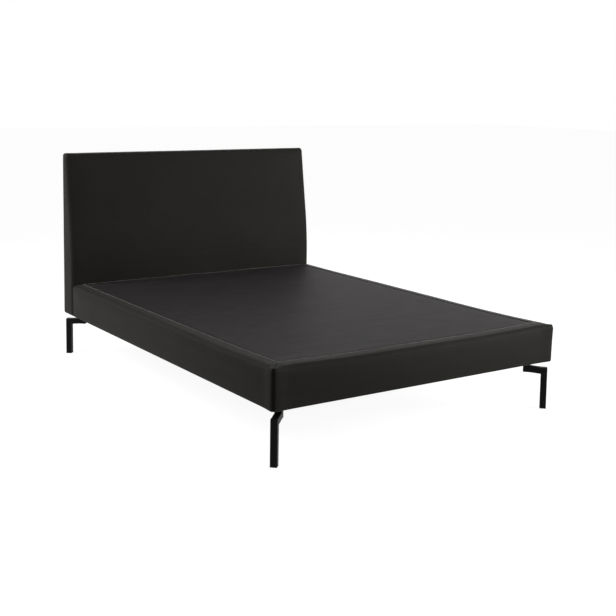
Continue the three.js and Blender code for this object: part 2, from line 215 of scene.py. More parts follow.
base_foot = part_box("cover_foot")[0].y
base_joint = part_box("cover_head")[1].y
base_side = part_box("cover_right")[1].x
base_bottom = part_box("cover_foot")[0].z
base_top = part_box("cover_foot")[1].z
seam_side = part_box("deck_cloth")[1].x
seam_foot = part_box("deck_cloth")[0].y
seam_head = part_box("deck_cloth")[1].y
top_roll = 0.018
head_end_roll = 0.008
corner_roll = 0.008
bottom_roll = 0.006
hem = 0.030  # how far the leather runs on under the base
roll_zone = 0.030  # the upper part of the sides, which belongs to the roll
low_crown = 0.003
high_crown = 0.0075
deck_crown = 0.003
cell = 0.021  # the squares that the deck is divided into
side_cell = 0.013  # the sides' rows, from side_start up to side_end below the top
side_start = 0.012
side_end = 0.028
edge_rows = (0.0125, 0.0165, hem, 0.044)  # cuts beside each upper edge, in from it
touch = 0.001  # what lies closer than this counts as touching
speck = 1e-4  # the same, where edges lie close together


def take(piece):
    """Selects this piece alone, for the next step."""
    bpy.ops.object.select_all(action="DESELECT")
    piece.select_set(True)
    bpy.context.view_layer.objects.active = piece


def solid(make, **sizes):
    """Makes a simple solid and settles its place and size."""
    bpy.ops.object.select_all(action="DESELECT")
    make(**sizes)
    bpy.ops.object.transform_apply(location=True, rotation=True, scale=True)
    return bpy.context.object


def new_block(name, low, high):
    centre = [(a + b) / 2 for a, b in zip(low, high)]
    span = [b - a for a, b in zip(low, high)]
    block = solid(bpy.ops.mesh.primitive_cube_add, size=1, location=centre, scale=span)
    block.name = name
    return block


def shape(piece, kind, **settings):
    """Changes a piece by a modifier, for good."""
    modifier = piece.modifiers.new(kind, kind)
    for name, setting in settings.items():
        setattr(modifier, name, setting)
    bpy.context.view_layer.objects.active = piece
    bpy.ops.object.modifier_apply(modifier=modifier.name)


def roll_edges(block, radius_of, segments=6):
    """Rounds each edge by radius_of(middle, direction), given as metres."""
    mesh = block.data
    weights = mesh.attributes.new("bevel_weight_edge", "FLOAT", "EDGE")
    radii = []
    for edge in mesh.edges:
        a, b = (mesh.vertices[i].co for i in edge.vertices)
        radii.append(radius_of((a + b) / 2, (b - a).normalized()))
    for item, radius in zip(weights.data, radii):
        item.value = radius / max(radii)
    shape(block, "BEVEL", limit_method="WEIGHT", width=max(radii), segments=segments)


def spaced(first, last, pitch):
    steps = max(1, round((last - first) / pitch))
    return [first + (last - first) * i / steps for i in range(steps + 1)]


def cut_across(axis, places):
    """In edit mode, cuts right round the mesh, square to an axis, at each place."""
    square = [float(i == axis) for i in range(3)]
    for place in places:
        bpy.ops.mesh.select_all(action="SELECT")
        bpy.ops.mesh.bisect(plane_co=[place * n for n in square], plane_no=square)


def both(places):
    return [side * place for place in places for side in (-1, 1)]


base = new_block(
    "base_block", (-base_side, base_foot, base_bottom), (base_side, base_joint, base_top)
)


def base_radius(middle, along):
    if abs(along.z) > 0.5:
        return corner_roll
    if middle.z < (base_bottom + base_top) / 2:
        return bottom_roll
    return head_end_roll if middle.y > base_joint - speck else top_roll


roll_edges(base, base_radius)
bpy.ops.object.mode_set(mode="EDIT")
cut_across(0, spaced(-seam_side, seam_side, cell))
cut_across(0, both([base_side - x for x in edge_rows]))
cut_across(1, spaced(seam_foot, seam_head, cell))
cut_across(1, [base_foot + y for y in edge_rows])
cut_across(1, [base_joint - y for y in edge_rows[:3]])
cut_across(2, spaced(base_bottom + side_start, base_top - side_end, side_cell))

# The cover strips meet on mitre lines from the corners of the base to the corners of the deck seam.
for x_side in (-1, 1):
    for corner_y, seam_y in ((base_foot, seam_foot), (base_joint, seam_head)):
        corner = Vector((x_side * base_side, corner_y, 0))
        mitre = Vector((x_side * seam_side, seam_y, 0)) - corner
        bpy.ops.object.mode_set(mode="OBJECT")
        for face in base.data.polygons:
            reach = face.center - corner
            face.select = abs(reach.x) < abs(mitre.x) and abs(reach.y) < abs(mitre.y)
        for edge in base.data.edges:
            edge.select = False
        bpy.ops.object.mode_set(mode="EDIT")
        bpy.ops.mesh.bisect(plane_co=corner, plane_no=(-mitre.y, mitre.x, 0))
bpy.ops.object.mode_set(mode="OBJECT")

base_parts = ["left", "right", "foot", "head", "deck", "window"]
for name in base_parts:
    base.data.materials.append(bpy.data.materials.new("sort_" + name))


def seam_distance(x, y):
    """How far a place in plan lies outside the deck seam; negative inside it."""
    dx = abs(x) - seam_side
    dy = max(seam_foot - y, y - seam_head)
    return math.hypot(dx, dy) if min(dx, dy) > 0 else max(dx, dy)


for face in base.data.polygons:
    x, y, z = face.center
    shares = {
        "left": (x + base_side) / (base_side - seam_side),
        "right": (base_side - x) / (base_side - seam_side),
        "foot": (y - base_foot) / (seam_foot - base_foot),
        "head": (base_joint - y) / (base_joint - seam_head),
    }
    part = min(shares, key=shares.get)
    if z > base_top - touch and seam_distance(x, y) < 0:
        part = "deck"
    if z < base_bottom + touch and abs(x) < base_side - hem:
        if base_foot + hem < y < base_joint - hem:
            part = "window"
    face.material_index = base_parts.index(part)


def puff(block, held, crown_of, slack=0.45, steps=20):
    """Swells the padding under its cover by cloth simulation between the held seams; crown_of
    gives the most that a place may rise."""
    mesh = block.data
    flat = [v.co.copy() for v in mesh.vertices]
    pins = block.vertex_groups.new(name="held")
    pins.add([i for i, place in enumerate(flat) if held(place)], 1.0, "REPLACE")
    cloth = block.modifiers.new("stretched_cover", "CLOTH")
    cloth.settings.quality = 5
    cloth.settings.mass = 0.4
    cloth.settings.tension_stiffness = 20
    cloth.settings.compression_stiffness = 20
    cloth.settings.shear_stiffness = 10
    cloth.settings.bending_stiffness = 5
    cloth.settings.vertex_group_mass = "held"
    cloth.settings.use_pressure = True
    cloth.settings.uniform_pressure_force = 4
    cloth.settings.effector_weights.gravity = 0
    cloth.point_cache.frame_start = 1
    cloth.point_cache.frame_end = steps
    for step in range(1, steps + 1):
        bpy.context.scene.frame_set(step)
    bpy.context.view_layer.objects.active = block
    bpy.ops.object.modifier_apply(modifier="stretched_cover")
    for vertex, place in zip(mesh.vertices, flat):
        rise = vertex.co - place
        if rise.length > 1e-7:
            crown = crown_of(place)
            rise *= crown * math.tanh(slack * rise.length / crown) / rise.length
            vertex.co = place + rise


def base_held(place):
    x, y, z = place
    on_seam = z > base_top - touch and abs(seam_distance(x, y)) < touch
    in_corner = z < base_top - roll_zone and abs(x) > base_side - corner_roll and (
        y < base_foot + corner_roll or y > base_joint - corner_roll
    )
    return on_seam or in_corner or z < base_bottom + bottom_roll or y > base_joint - touch


def base_crown(place):
    inside = place.z > base_top - touch and seam_distance(place.x, place.y) < 0
    height = (place.z - base_bottom) / (base_top - base_bottom)
    return deck_crown if inside else low_crown + (high_crown - low_crown) * height


puff(base, base_held, base_crown)


def uneven(block, depth, size):
    """Hand-pulled covers are never quite even: gives the foam a broad, shallow waviness."""
    waves = bpy.data.textures.new("foam_" + block.name, "CLOUDS")
    waves.noise_scale = size
    settings = {"texture": waves, "texture_coords": "LOCAL", "strength": depth}
    if "held" in block.vertex_groups:
        settings.update(vertex_group="held", invert_vertex_group=True)
    shape(block, "DISPLACE", **settings)


uneven(base, depth=0.0016, size=0.22)

# ---------------------------------------------------------------- base: seams
# The deck seam: the cloth dips under the leather, whose edge is turned in, so it stands up as a
# lip. The upright corners: both covers turn inwards into one deep sewn valley.

lip = [  # distance outside the seam line, height above the cover
    (-0.014, 0.0),
    (-0.010, -0.0003),
    (-0.005, -0.0011),
    (-0.002, -0.0024),
    (0.0, -0.0050),
    (0.0012, -0.0008),
    (0.003, 0.0009),
    (0.007, 0.0012),
    (0.011, 0.0004),
    (0.015, 0.0),
]
lip_zone = 0.004  # the lip is raised where the cover lies no lower than this
corner_valley = [(0.0085, 0.0050), (0.0040, 0.0150)]  # depth, half width
corner_valley_top = base_top - 0.001
corner_valley_fade = 0.009
corner_reach = 0.06  # the valley is cut this near to the corner
corner_lifts = [(0.0085, 0.28), (0.0055, 0.05)]  # height, how far it spreads
corner_fullness = 0.0105
corner_flare = 0.0060
fullness_spread = 0.045
side_lift = 0.003  # the left side and the foot end stand higher than the right side
side_lift_fade = 0.06  # inside the seam
border_fall = 0.0035
border_start = 0.012  # outside the seam
border = base_side - seam_side - border_start

bpy.ops.object.mode_set(mode="EDIT")
rows = [place for place, height in lip[1:-1] if place != 0]
cut_across(0, both([seam_side + row for row in rows]))
cut_across(1, [seam_foot - row for row in rows])
cut_across(1, [seam_head + row for row in rows])
bpy.ops.object.mode_set(mode="OBJECT")


def hump(distance, spread):
    return math.exp(-((distance / spread) ** 2))


lip_places, lip_heights = zip(*lip)
for vertex in base.data.vertices:
    x, y, z = vertex.co
    outside = seam_distance(x, y)
    if z > base_top - lip_zone:
        vertex.co.z += float(np.interp(outside, lip_places, lip_heights))
    if z > base_top - roll_zone and outside > border_start:
        vertex.co.z -= border_fall * ((outside - border_start) / border) ** 2
    inward = Vector((-math.copysign(1, x), 1, 0)).normalized()
    corner = Vector((math.copysign(base_side, x), base_foot, z))
    off_mitre = abs((vertex.co - corner).cross(inward).z)
    from_corner = (Vector((x, y, z)) - corner).length
    height = (z - base_bottom) / (base_top - base_bottom)
    raised = sum(lift * hump(from_corner, spread) for lift, spread in corner_lifts)
    if x < 0 or y - base_foot < base_side - x:
        raised += side_lift * min(1.0, max(0.0, outside / side_lift_fade + 1.0))
    vertex.co.z += raised * min(1.0, max(0.0, height)) ** 2
    full = corner_fullness + corner_flare * max(0.0, height) ** 2
    vertex.co -= full * hump(from_corner, fullness_spread) * inward
    if from_corner < corner_reach and z < corner_valley_top:
        depth = sum(deep * hump(off_mitre, wide) for deep, wide in corner_valley)
        depth *= min(1.0, (corner_valley_top - z) / corner_valley_fade)
        vertex.co += depth * inward

# ---------------------------------------------------------------- base: four covers and the deck
# Each leather cover is one strip: from the deck seam over the roll, down the side and 30 mm under,
# where it is stapled. The deck is grey cloth over a thin pad.


def turn_in(piece, depth, outward):
    """Tucks the piece's cut edges in, against the way the whole padding faces there."""
    take(piece)
    bpy.ops.object.mode_set(mode="EDIT")
    bpy.ops.mesh.select_mode(type="EDGE")
    bpy.ops.mesh.select_all(action="DESELECT")
    bpy.ops.mesh.select_non_manifold(use_wire=False, use_multi_face=False, use_verts=False)
    bpy.ops.mesh.extrude_edges_move()
    bpy.ops.object.mode_set(mode="OBJECT")
    for vertex in piece.data.vertices:
        if vertex.select:
            vertex.co -= depth * outward[tuple(vertex.co)]


def part_out(block):
    """Takes the block apart by its sorted faces; returns the pieces by name."""
    take(block)
    bpy.ops.object.mode_set(mode="EDIT")
    bpy.ops.mesh.select_all(action="SELECT")
    bpy.ops.mesh.separate(type="MATERIAL")
    bpy.ops.object.mode_set(mode="OBJECT")
    pieces = {}
    for piece in list(bpy.context.selected_objects):
        sort = piece.data.materials[piece.data.polygons[0].material_index]
        name = sort.name.split("_")[-1]
        piece.data.materials.clear()
        piece.vertex_groups.clear()
        pieces[name] = piece
    return pieces


def finish_cover(piece, name, thickness, material):
    """Gives a cover its thickness, inwards, smooths it and names it."""
    piece.name = name
    piece.data.name = name
    piece.data.materials.append(material)
    for face in piece.data.polygons:
        face.material_index = 0
    take(piece)
    shape(piece, "SOLIDIFY", thickness=thickness, offset=-1)
    shape(piece, "SUBSURF", levels=1, render_levels=1)
    bpy.ops.object.shade_smooth()
    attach(piece, "root")


base_outward = {tuple(v.co): v.normal.copy() for v in base.data.vertices}
base_pieces = part_out(base)
bpy.data.objects.remove(base_pieces.pop("window"))
leather_thickness = 0.0016
base_turn = 0.005  # the cut edges stand in by this much
for name in ("left", "right", "foot", "head"):
    cover = base_pieces[name]
    turn_in(cover, base_turn, base_outward)
    finish_cover(cover, f"base_leather_{name}", leather_thickness, dark_leather)
    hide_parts(f"cover_{name}", f"edge_foam_{name}")


# The deck cloth: charcoal cotton twill with a faint violet cast and slubs across the bed; the gaps
# between its threads are painted darker, as shade.
twill_turn = math.radians(8)


def deck_weave():
    material, shader, where = new_finish("charcoal_twill")
    threads = []
    for turn in (0.0, math.pi / 2):
        lay = {"Vector": where, "Rotation": (0, 0, turn + twill_turn)}
        turned = add(where, "Mapping", "Vector", lay)
        yarn = {"Vector": turned, "Scale": 210.0, "Distortion": 0.6, "Detail": 1.0}
        threads.append(add(where, "TexWave", "Fac", yarn, bands_direction="X"))
    weave_and_gap_shade = add(where, "Math", "Value", dict(enumerate(threads)), operation="MULTIPLY")
    streaks = add(where, "Mapping", "Vector", {"Vector": where, "Scale": (3.0, 26.0, 1.0)})
    slub = noise(streaks, 1.9, detail=6.0, Roughness=0.6)
    tone = shades(slub, (0.0302, 0.0262, 0.0284), (0.0530, 0.0464, 0.0496), first=0.30, last=0.70)
    nap = noise(where, 95.0, detail=3.0)
    worn = {"Value": nap, "From Min": 0.3, "From Max": 0.7, "To Min": 0.90, "To Max": 1.06}
    # the second layer darkens the gaps between the threads: painted shade
    for layer, share in ((add(where, "MapRange", "Result", worn), 1.0), (weave_and_gap_shade, 0.35)):
        mixed = {"Factor": share, "A": tone, "B": layer}
        tone = add(where, "Mix", "Result", mixed, data_type="RGBA", blend_type="MULTIPLY")
    look = {
        "Base Color": tone,
        "Specular IOR Level": 0.04,
        "Roughness": 0.52,
        "Normal": relief(weave_and_gap_shade, 0.0005, strength=0.35),
    }
    feed(shader, look)
    return material


deck = base_pieces["deck"]
deck_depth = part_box("deck_cloth")[1].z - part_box("deck_pad")[0].z - 0.001
finish_cover(deck, "deck_pad_and_cloth", deck_depth, deck_weave())
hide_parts("deck_cloth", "deck_pad")

# ---------------------------------------------------------------- base: topstitching
# One row of pale grey thread holds the turned edge of the leather down along the deck seam. It is
# sewn by machine, and each stitch is drawn into the hide at both ends.

stitch_pitch = 0.0078
stitch_length = 0.0056
stitch_cuts = (-0.3, 0, 0.3)  # along the stitch, in stitch lengths
thread_radius = 0.0007
stitch_rise = 0.0005
stitch_dive = 0.0015  # how much lower than its middle a stitch ends
stitch_row = 0.0048  # outside the seam line
stitch_sink = 0.0007  # how much deeper the tightest stitches lie
probe_height = 0.05  # above the base, where the leather is looked for from


def thread():
    material, shader, where = new_finish("grey_thread")
    colour = shades(noise(where, 900.0), (0.40, 0.39, 0.355), (0.60, 0.585, 0.545))
    feed(shader, {"Base Color": colour, "Roughness": 0.6})
    return material


def stitch_line(length, pitch):
    """A row of stitches along X from the origin, each a short thread that dives at both ends."""
    row = solid(
        bpy.ops.mesh.primitive_cylinder_add,
        vertices=6,
        radius=thread_radius,
        depth=stitch_length,
        location=(0, 0, 0),
        rotation=(0, math.pi / 2, 0),
    )
    bpy.ops.object.mode_set(mode="EDIT")
    cut_across(0, [share * stitch_length for share in stitch_cuts])
    bpy.ops.object.mode_set(mode="OBJECT")
    for vertex in row.data.vertices:
        bend = (2 * vertex.co.x / stitch_length) ** 2
        vertex.co.z += stitch_rise - stitch_dive * bend * bend
    count = int(length / pitch)
    step = length / count
    steps = {"use_relative_offset": False, "use_constant_offset": True}
    shape(row, "ARRAY", **steps, constant_offset_displace=(step, 0, 0), count=count)
    return row, step


def join_up(parts, name, material):
    """Joins loose parts into one piece of one material."""
    take(parts[0])
    for part in parts:
        part.select_set(True)
    bpy.ops.object.join()
    piece = bpy.context.object
    piece.name = name
    piece.data.materials.append(material)
    return piece


stitched = []
row_x = seam_side + stitch_row
row_foot = seam_foot - stitch_row
row_head = seam_head + stitch_row
for start, along, length, name in (
    ((-row_x, row_foot), (1, 0), 2 * row_x, "foot"),
    ((-row_x, row_head), (1, 0), 2 * row_x, "head"),
    ((-row_x, row_foot), (0, 1), row_head - row_foot, "left"),
    ((row_x, row_foot), (0, 1), row_head - row_foot, "right"),
):
    row, pitch = stitch_line(length, stitch_pitch)
    for vertex in row.data.vertices:
        number = round(vertex.co.x / pitch)
        far = (number + 0.5) * pitch
        x = start[0] + along[0] * far
        y = start[1] + along[1] * far
        spot = Vector((x, y, base_top + probe_height))
        hit, place = base_pieces[name].ray_cast(spot, Vector((0, 0, -1)))[:2]
        level = place.z if hit else base_top
        level -= stitch_sink * (math.sin(0.83 * number) * math.sin(0.31 * number + 1)) ** 2
        away = vertex.co.x - number * pitch
        across = vertex.co.y
        x = spot.x + along[0] * away - along[1] * across
        y = spot.y + along[1] * away + along[0] * across
        vertex.co = Vector((x, y, level + vertex.co.z))
    stitched.append(row)
stitching = join_up(stitched, "deck_stitching", thread())
bpy.ops.object.shade_smooth()
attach(stitching, "root")

# ---------------------------------------------------------------- base: dust cover
# Black spun lining stapled over the open underside, inside the turned-under leather. It hangs a few
# millimetres slack between the rails, and lies flat under the leg plates and the centre leg.


def lining():
    material, shader, where = new_finish("black_lining")
    fibre = noise(where, 160.0, detail=8.0, Roughness=0.7)
    tone = shades(fibre, (0.008, 0.008, 0.008), (0.024, 0.024, 0.025), first=0.35, last=0.7)
    dimples = {"Vector": where, "Scale": 480.0, "Randomness": 0.15}
    felt = add(where, "TexVoronoi", "Distance", dimples)
    look = {
        "Base Color": tone,
        "Specular IOR Level": 0.2,
        "Roughness": 0.9,
        "Normal": relief(felt, 0.0005, strength=0.4),
    }
    feed(shader, look)
    return material


black_lining = lining()
dust_low, dust_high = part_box("base_dust_cover")
dust_slack = 0.004
dust_thickness = 0.0008
dust_gap = 0.0002  # between the lining and the base above it
edge_ease = 0.16  # how far from its edges, the plates and the leg the lining reaches its full slack
plate_ease = 0.12
leg_ease = 0.16
plate_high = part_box("leg_foot_left")[1]
foot_flat = plate_high.y
head_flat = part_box("leg_head_left")[0].y
side_flat = -plate_high.x
centre_low, centre_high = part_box("centre_leg")
centre_y = (centre_low.y + centre_high.y) / 2
centre_flat = centre_high.x + 0.004


def ease(share):
    share = min(1.0, max(0.0, share))
    return share * share * (3 - 2 * share)


def dust_sag(x, y):
    """How far the lining hangs: nothing at its edges, on the plates and round the centre leg."""
    edge = min(x - dust_low.x, dust_high.x - x, y - dust_low.y, dust_high.y - y)
    past_plate = head_flat - y if y > 0 else y - foot_flat
    plate_gap = math.hypot(max(0, side_flat - abs(x)), max(0, past_plate))
    leg_gap = math.hypot(x, y - centre_y) - centre_flat
    wave = 0.82 + 0.18 * math.sin(7.1 * x + 1.3) * math.sin(5.3 * y + 0.4)
    sag = dust_slack * wave * ease(edge / edge_ease)
    return sag * ease(plate_gap / plate_ease) * ease(leg_gap / leg_ease)


bpy.ops.object.select_all(action="DESELECT")
bpy.ops.mesh.primitive_grid_add(
    x_subdivisions=76,
    y_subdivisions=100,
    size=1,
    location=(0, (dust_low.y + dust_high.y) / 2, base_bottom + dust_gap),
)
dust = bpy.context.object
dust.scale = (dust_high.x - dust_low.x, dust_high.y - dust_low.y, 1)
bpy.ops.object.transform_apply(location=True, rotation=True, scale=True)
for vertex in dust.data.vertices:
    vertex.co.z -= dust_sag(vertex.co.x, vertex.co.y)
dust.name = "base_dust_lining"
dust.data.materials.append(black_lining)
shape(dust, "SOLIDIFY", thickness=dust_thickness, offset=1)
bpy.ops.object.shade_smooth()
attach(dust, "root")
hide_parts("base_dust_cover")

# Wire staples hold the lining 4 mm inside its edge; none where a head leg's plate covers the row.
staple_width = 0.010
staple_wire = 0.0011
staple_flat = 0.0006
staple_edge = 0.0003
staple_pitch = 0.070
staple_row = 0.004
staple_end = 0.03  # the rows stop this far from the corners
staple_skew = 0.16
plate_margin = 0.01
plates = [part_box("leg_" + corner) for corner in ("head_left", "head_right")]


def copy_of(piece, turn, place):
    """A turned copy of a piece in its place."""
    take(piece)
    bpy.ops.object.duplicate()
    copy = bpy.context.object
    copy.rotation_euler.z = turn
    copy.location = place
    bpy.ops.object.transform_apply(location=True, rotation=True, scale=True)
    return copy


rows = []
for x_side in (-1, 1):
    x = x_side * (dust_high.x - staple_row)
    for y in spaced(dust_low.y + staple_end, dust_high.y - staple_end, staple_pitch):
        rows.append((x, y, 0.5 * math.pi))
for y in (dust_low.y + staple_row, dust_high.y - staple_row):
    for x in spaced(dust_low.x + staple_end, dust_high.x - staple_end, staple_pitch):
        for low, high in plates:
            if low.x - plate_margin < x < high.x + plate_margin and low.y < y < high.y:
                break
        else:
            rows.append((x, y, 0.0))
staple = new_block(
    "staple",
    (-staple_width / 2, -staple_wire / 2, -staple_flat),
    (staple_width / 2, staple_wire / 2, staple_flat),
)
shape(staple, "BEVEL", width=staple_edge)
staples = []
for x, y, turn in rows:
    skewed = turn + staple_skew * math.sin(37.0 * x + 61.0 * y)
    staples.append(copy_of(staple, skewed, (x, y, base_bottom)))
bpy.data.objects.remove(staple)
stapling = join_up(staples, "lining_staples", zinc)
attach(stapling, "root")

# ---------------------------------------------------------------- steel legs
# Four square tubes bent into a Z on the diagonal: an upright, an arm rising inwards, and a stub
# welded under a flat plate. Gloss-free black powder coat.

tube = 0.030
tube_edge = 0.0025
leg_inset = 0.022
arm_reach = 0.098
elbow_top = base_bottom - 0.031
arm_rise = 0.006
plate_thickness = 0.005
plate_size = 0.090
plate_edge = 0.0010
plate_bottom = base_bottom - plate_thickness
stub_middle = arm_reach - tube / 2
stub_inset = leg_inset + stub_middle * math.sqrt(0.5)
leg_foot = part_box("leg_foot_left")[0].z
head_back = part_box("headboard_front_cover")[1].y
weld = 0.004
weld_steps = ((0.55, 1.10), (0.45, 1.16))  # share of its height, how far it widens
smooth_below = math.radians(35)


def powder_coat():
    material, shader, where = new_finish("black_powder_coat")
    patch = noise(where, 18.0, detail=5.0)
    look = {
        "Base Color": shades(patch, (0.0040, 0.0040, 0.0041), (0.0062, 0.0062, 0.0063)),
        "Specular IOR Level": 0.08,
        "Roughness": between(patch, 0.38, 0.52),
        "Normal": relief(noise(where, 900.0), 0.0002, strength=0.25),
    }
    feed(shader, look)
    return material


black_coat = powder_coat()


def pull(block, wanted, move, grow=None):
    """Extrudes the faces that wanted(centre, normal) keeps, and scales their new end."""
    for part in (block.data.vertices, block.data.edges):
        part.foreach_set("select", [False] * len(part))
    for face in block.data.polygons:
        face.select = wanted(face.center, face.normal)
    bpy.ops.object.mode_set(mode="EDIT")
    bpy.ops.mesh.extrude_region_move(TRANSFORM_OT_translate={"value": move})
    if grow:
        bpy.ops.transform.resize(value=grow)
    bpy.ops.object.mode_set(mode="OBJECT")


def bevel_all(block, width, segments, angle=30):
    shape(block, "BEVEL", width=width, segments=segments, angle_limit=math.radians(angle))


def bent_tube(turn, place):
    """One leg without its plate, made along X from the upright's centre, turned and placed."""
    tube_leg = new_block(
        "steel_tube",
        (-tube / 2, -tube / 2, leg_foot),
        (tube / 2, tube / 2, elbow_top - tube),
    )
    across = arm_reach - 1.5 * tube
    climb = arm_rise * across / (across + tube / 2)
    pull(tube_leg, lambda c, n: n.z > 0.9, (0, 0, tube))
    pull(tube_leg, lambda c, n: n.x > 0.9 and c.z > elbow_top - tube, (across, 0, climb))
    pull(tube_leg, lambda c, n: n.x > 0.9 and c.x > across, (tube, 0, 0))
    stub = plate_bottom - weld - elbow_top - climb
    pull(tube_leg, lambda c, n: n.z > 0.9 and c.x > across, (0, 0, stub))
    bevel_all(tube_leg, tube_edge, 3)
    stub_end = plate_bottom - weld - speck
    for share, wider in weld_steps:
        rise, grow = (0, 0, weld * share), (wider, wider, 1)
        pull(tube_leg, lambda c, n: n.z > 0.99 and c.z > stub_end, rise, grow)
    tube_leg.rotation_euler.z = turn
    tube_leg.location = place
    bpy.ops.object.transform_apply(location=True, rotation=True, scale=True)
    return tube_leg


corners = {  # the side that each leg stands on: across the bed, along the bed
    "foot_left": (-1, -1),
    "foot_right": (1, -1),
    "head_left": (-1, 1),
    "head_right": (1, 1),
}
for corner, (x_side, y_side) in corners.items():
    upright_y = base_foot + leg_inset if y_side < 0 else head_back - leg_inset
    heading = math.atan2(-y_side, -x_side)
    leg = bent_tube(heading, (x_side * (base_side - leg_inset), upright_y, 0))
    stub_x = x_side * (base_side - stub_inset)
    stub_y = upright_y - y_side * (stub_inset - leg_inset)
    plate_foot = stub_y - plate_size / 2 if y_side < 0 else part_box("leg_" + corner)[0].y
    plate = new_block(
        "leg_plate",
        (stub_x - plate_size / 2, plate_foot, plate_bottom),
        (stub_x + plate_size / 2, stub_y + plate_size / 2, base_bottom),
    )
    bevel_all(plate, plate_edge, 2)
    leg = join_up([leg, plate], "steel_leg_" + corner, black_coat)
    leg.data.name = leg.name
    bpy.ops.object.shade_smooth_by_angle(angle=smooth_below)
    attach(leg, "root")
    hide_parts("leg_" + corner)

# ---------------------------------------------------------------- leg bolts
# Two zinc-plated button-head bolts hold each plate, one on each side of the stub, with a hex socket.
# They go up through the plate and the lining into the timber.

bolt_head = 0.008
bolt_head_height = 0.005
bolt_shank = 0.004
bolt_dome = 0.0028
socket = 0.0029
socket_depth = 0.005  # half of it stands out of the head
bolt_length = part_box("leg_bolt_foot_left_1")[1].z - plate_bottom

bolt = solid(
    bpy.ops.mesh.primitive_cylinder_add,
    vertices=32,
    radius=bolt_head,
    depth=bolt_head_height,
    location=(0, 0, -bolt_head_height / 2),
)
pull(bolt, lambda c, n: n.z > 0.9, (0, 0, 0), (bolt_shank / bolt_head,) * 2 + (1,))
pull(bolt, lambda c, n: n.z > 0.9 and c.xy.length < speck, (0, 0, bolt_length))
rim = bolt.data.attributes.new("bevel_weight_edge", "FLOAT", "EDGE")
for edge in bolt.data.edges:
    ends = [bolt.data.vertices[i].co for i in edge.vertices]
    on_rim = all(p.z < 1e-5 - bolt_head_height and p.xy.length > bolt_head - speck for p in ends)
    rim.data[edge.index].value = float(on_rim)
shape(bolt, "BEVEL", limit_method="WEIGHT", width=bolt_dome, segments=5)
bpy.ops.object.select_all(action="DESELECT")
bpy.ops.mesh.primitive_cylinder_add(
    vertices=6, radius=socket, depth=socket_depth, location=(0, 0, -bolt_head_height)
)
key = bpy.context.object
take(bolt)
shape(bolt, "BOOLEAN", object=key, operation="DIFFERENCE")
bpy.data.objects.remove(key)
bolt.data.materials.append(zinc)
bpy.ops.object.shade_smooth_by_angle(angle=smooth_below)

# Each bolt stops at its own turn.
for corner in corners:
    for number in (1, 2):
        node = f"leg_bolt_{corner}_{number}"
        low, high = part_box(node)
        place = ((low.x + high.x) / 2, (low.y + high.y) / 2, plate_bottom)
        copy = copy_of(bolt, 0.7 * number + 0.9 * len(corner), place)
        copy.name = "button_" + node[4:]
        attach(copy, "root")
        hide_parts(node)
bpy.data.objects.remove(bolt)

# ---------------------------------------------------------------- centre leg and glides
# Black moulded nylon: a tapered leg screwed up under the middle of the bed, and a square glide
# pressed into the foot of each steel tube.


def nylon():
    material, shader, where = new_finish("black_nylon")
    flow = noise(where, 420.0, detail=3.0)
    look = {
        "Base Color": shades(flow, (0.010, 0.010, 0.010), (0.017, 0.017, 0.017)),
        "Roughness": between(flow, 0.42, 0.6),
        "Normal": relief(flow, 0.0002, strength=0.2),
    }
    feed(shader, look)
    return material


black_nylon = nylon()
for corner in corners:
    clad("glide_" + corner, black_nylon)

centre_top = centre_high.x
centre_foot = 0.019
centre_edge = 0.0018
adjuster = 0.014  # height of the foot that screws in and out
groove = 0.0015  # half the width of the groove above it
waist = 0.88  # the groove's share of the leg's width
centre_rows = (0.05, 0.12, 0.19)
screw = 0.16  # the screw's share of the top's width
support = solid(
    bpy.ops.mesh.primitive_cone_add,
    vertices=40,
    radius1=centre_foot,
    radius2=centre_top,
    depth=base_bottom,
    location=(0, centre_y, base_bottom / 2),
)
bpy.ops.object.mode_set(mode="EDIT")
cut_across(2, [adjuster, adjuster + groove, adjuster + 2 * groove, *centre_rows])
bpy.ops.object.mode_set(mode="OBJECT")
for vertex in support.data.vertices:
    if abs(vertex.co.z - adjuster - groove) < speck:
        vertex.co.x *= waist
        vertex.co.y = centre_y + waist * (vertex.co.y - centre_y)
bevel_all(support, centre_edge, 3, 40)


def on_top(centre, normal):
    return normal.z > 0.99 and centre.z > base_bottom - speck


pull(support, on_top, (0, 0, 0), (screw, screw, 1))
pull(
    support,
    lambda c, n: on_top(c, n) and abs(c.y - centre_y) < speck,
    (0, 0, centre_high.z - base_bottom),
)
support.name = "centre_support"
support.data.materials.append(black_nylon)
bpy.ops.object.shade_smooth_by_angle(angle=smooth_below)
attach(support, "root")
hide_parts("centre_leg")

# ---------------------------------------------------------------- headboard: padded block
# A hollow plywood and timber frame under 18 mm of foam. The face stands upright behind the deck,
# then bends softly back. One leather sheet covers the face and the top; flat panels close the ends.

head_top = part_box("headboard_front_cover")[1].z
bend_start = base_top + 0.050
bend_radius = 1.970
lean = math.radians(8.2)
bend_rise = bend_radius * math.sin(lean)
bend_end = bend_start + bend_rise
head_rolls = {
    "top_front": 0.014,
    "back": 0.012,
    "back_foot": 0.017,
    "bottom": 0.006,
    "top_end": 0.020,
    "front_end": 0.014,
    "back_end": 0.006,
}
head_crown = 0.005
end_crown = 0.004
head_hem = 0.030
bend_cell = 0.028  # the rows of the bend
head_cell = 0.024  # the other squares of the face
head_foot_cell = 0.022  # the rows below the bend, from foot_start up to foot_end below it
foot_start = 0.014
foot_end = 0.020
face_start = 0.020  # the upper rows begin this far above the bend
back_row = 0.013  # the first cut in from the back
end_rows = (0.008, 0.012, 0.018)  # cuts beside each end, in from it
hair = 0.0005  # finer than touch


def face_back(z):
    """How far the face lies behind its foot at a height."""
    up = z - bend_start
    if up <= 0:
        return 0.0
    if up < bend_rise:
        return bend_radius - math.sqrt(bend_radius**2 - up**2)
    return bend_radius * (1 - math.cos(lean)) + (up - bend_rise) * math.tan(lean)


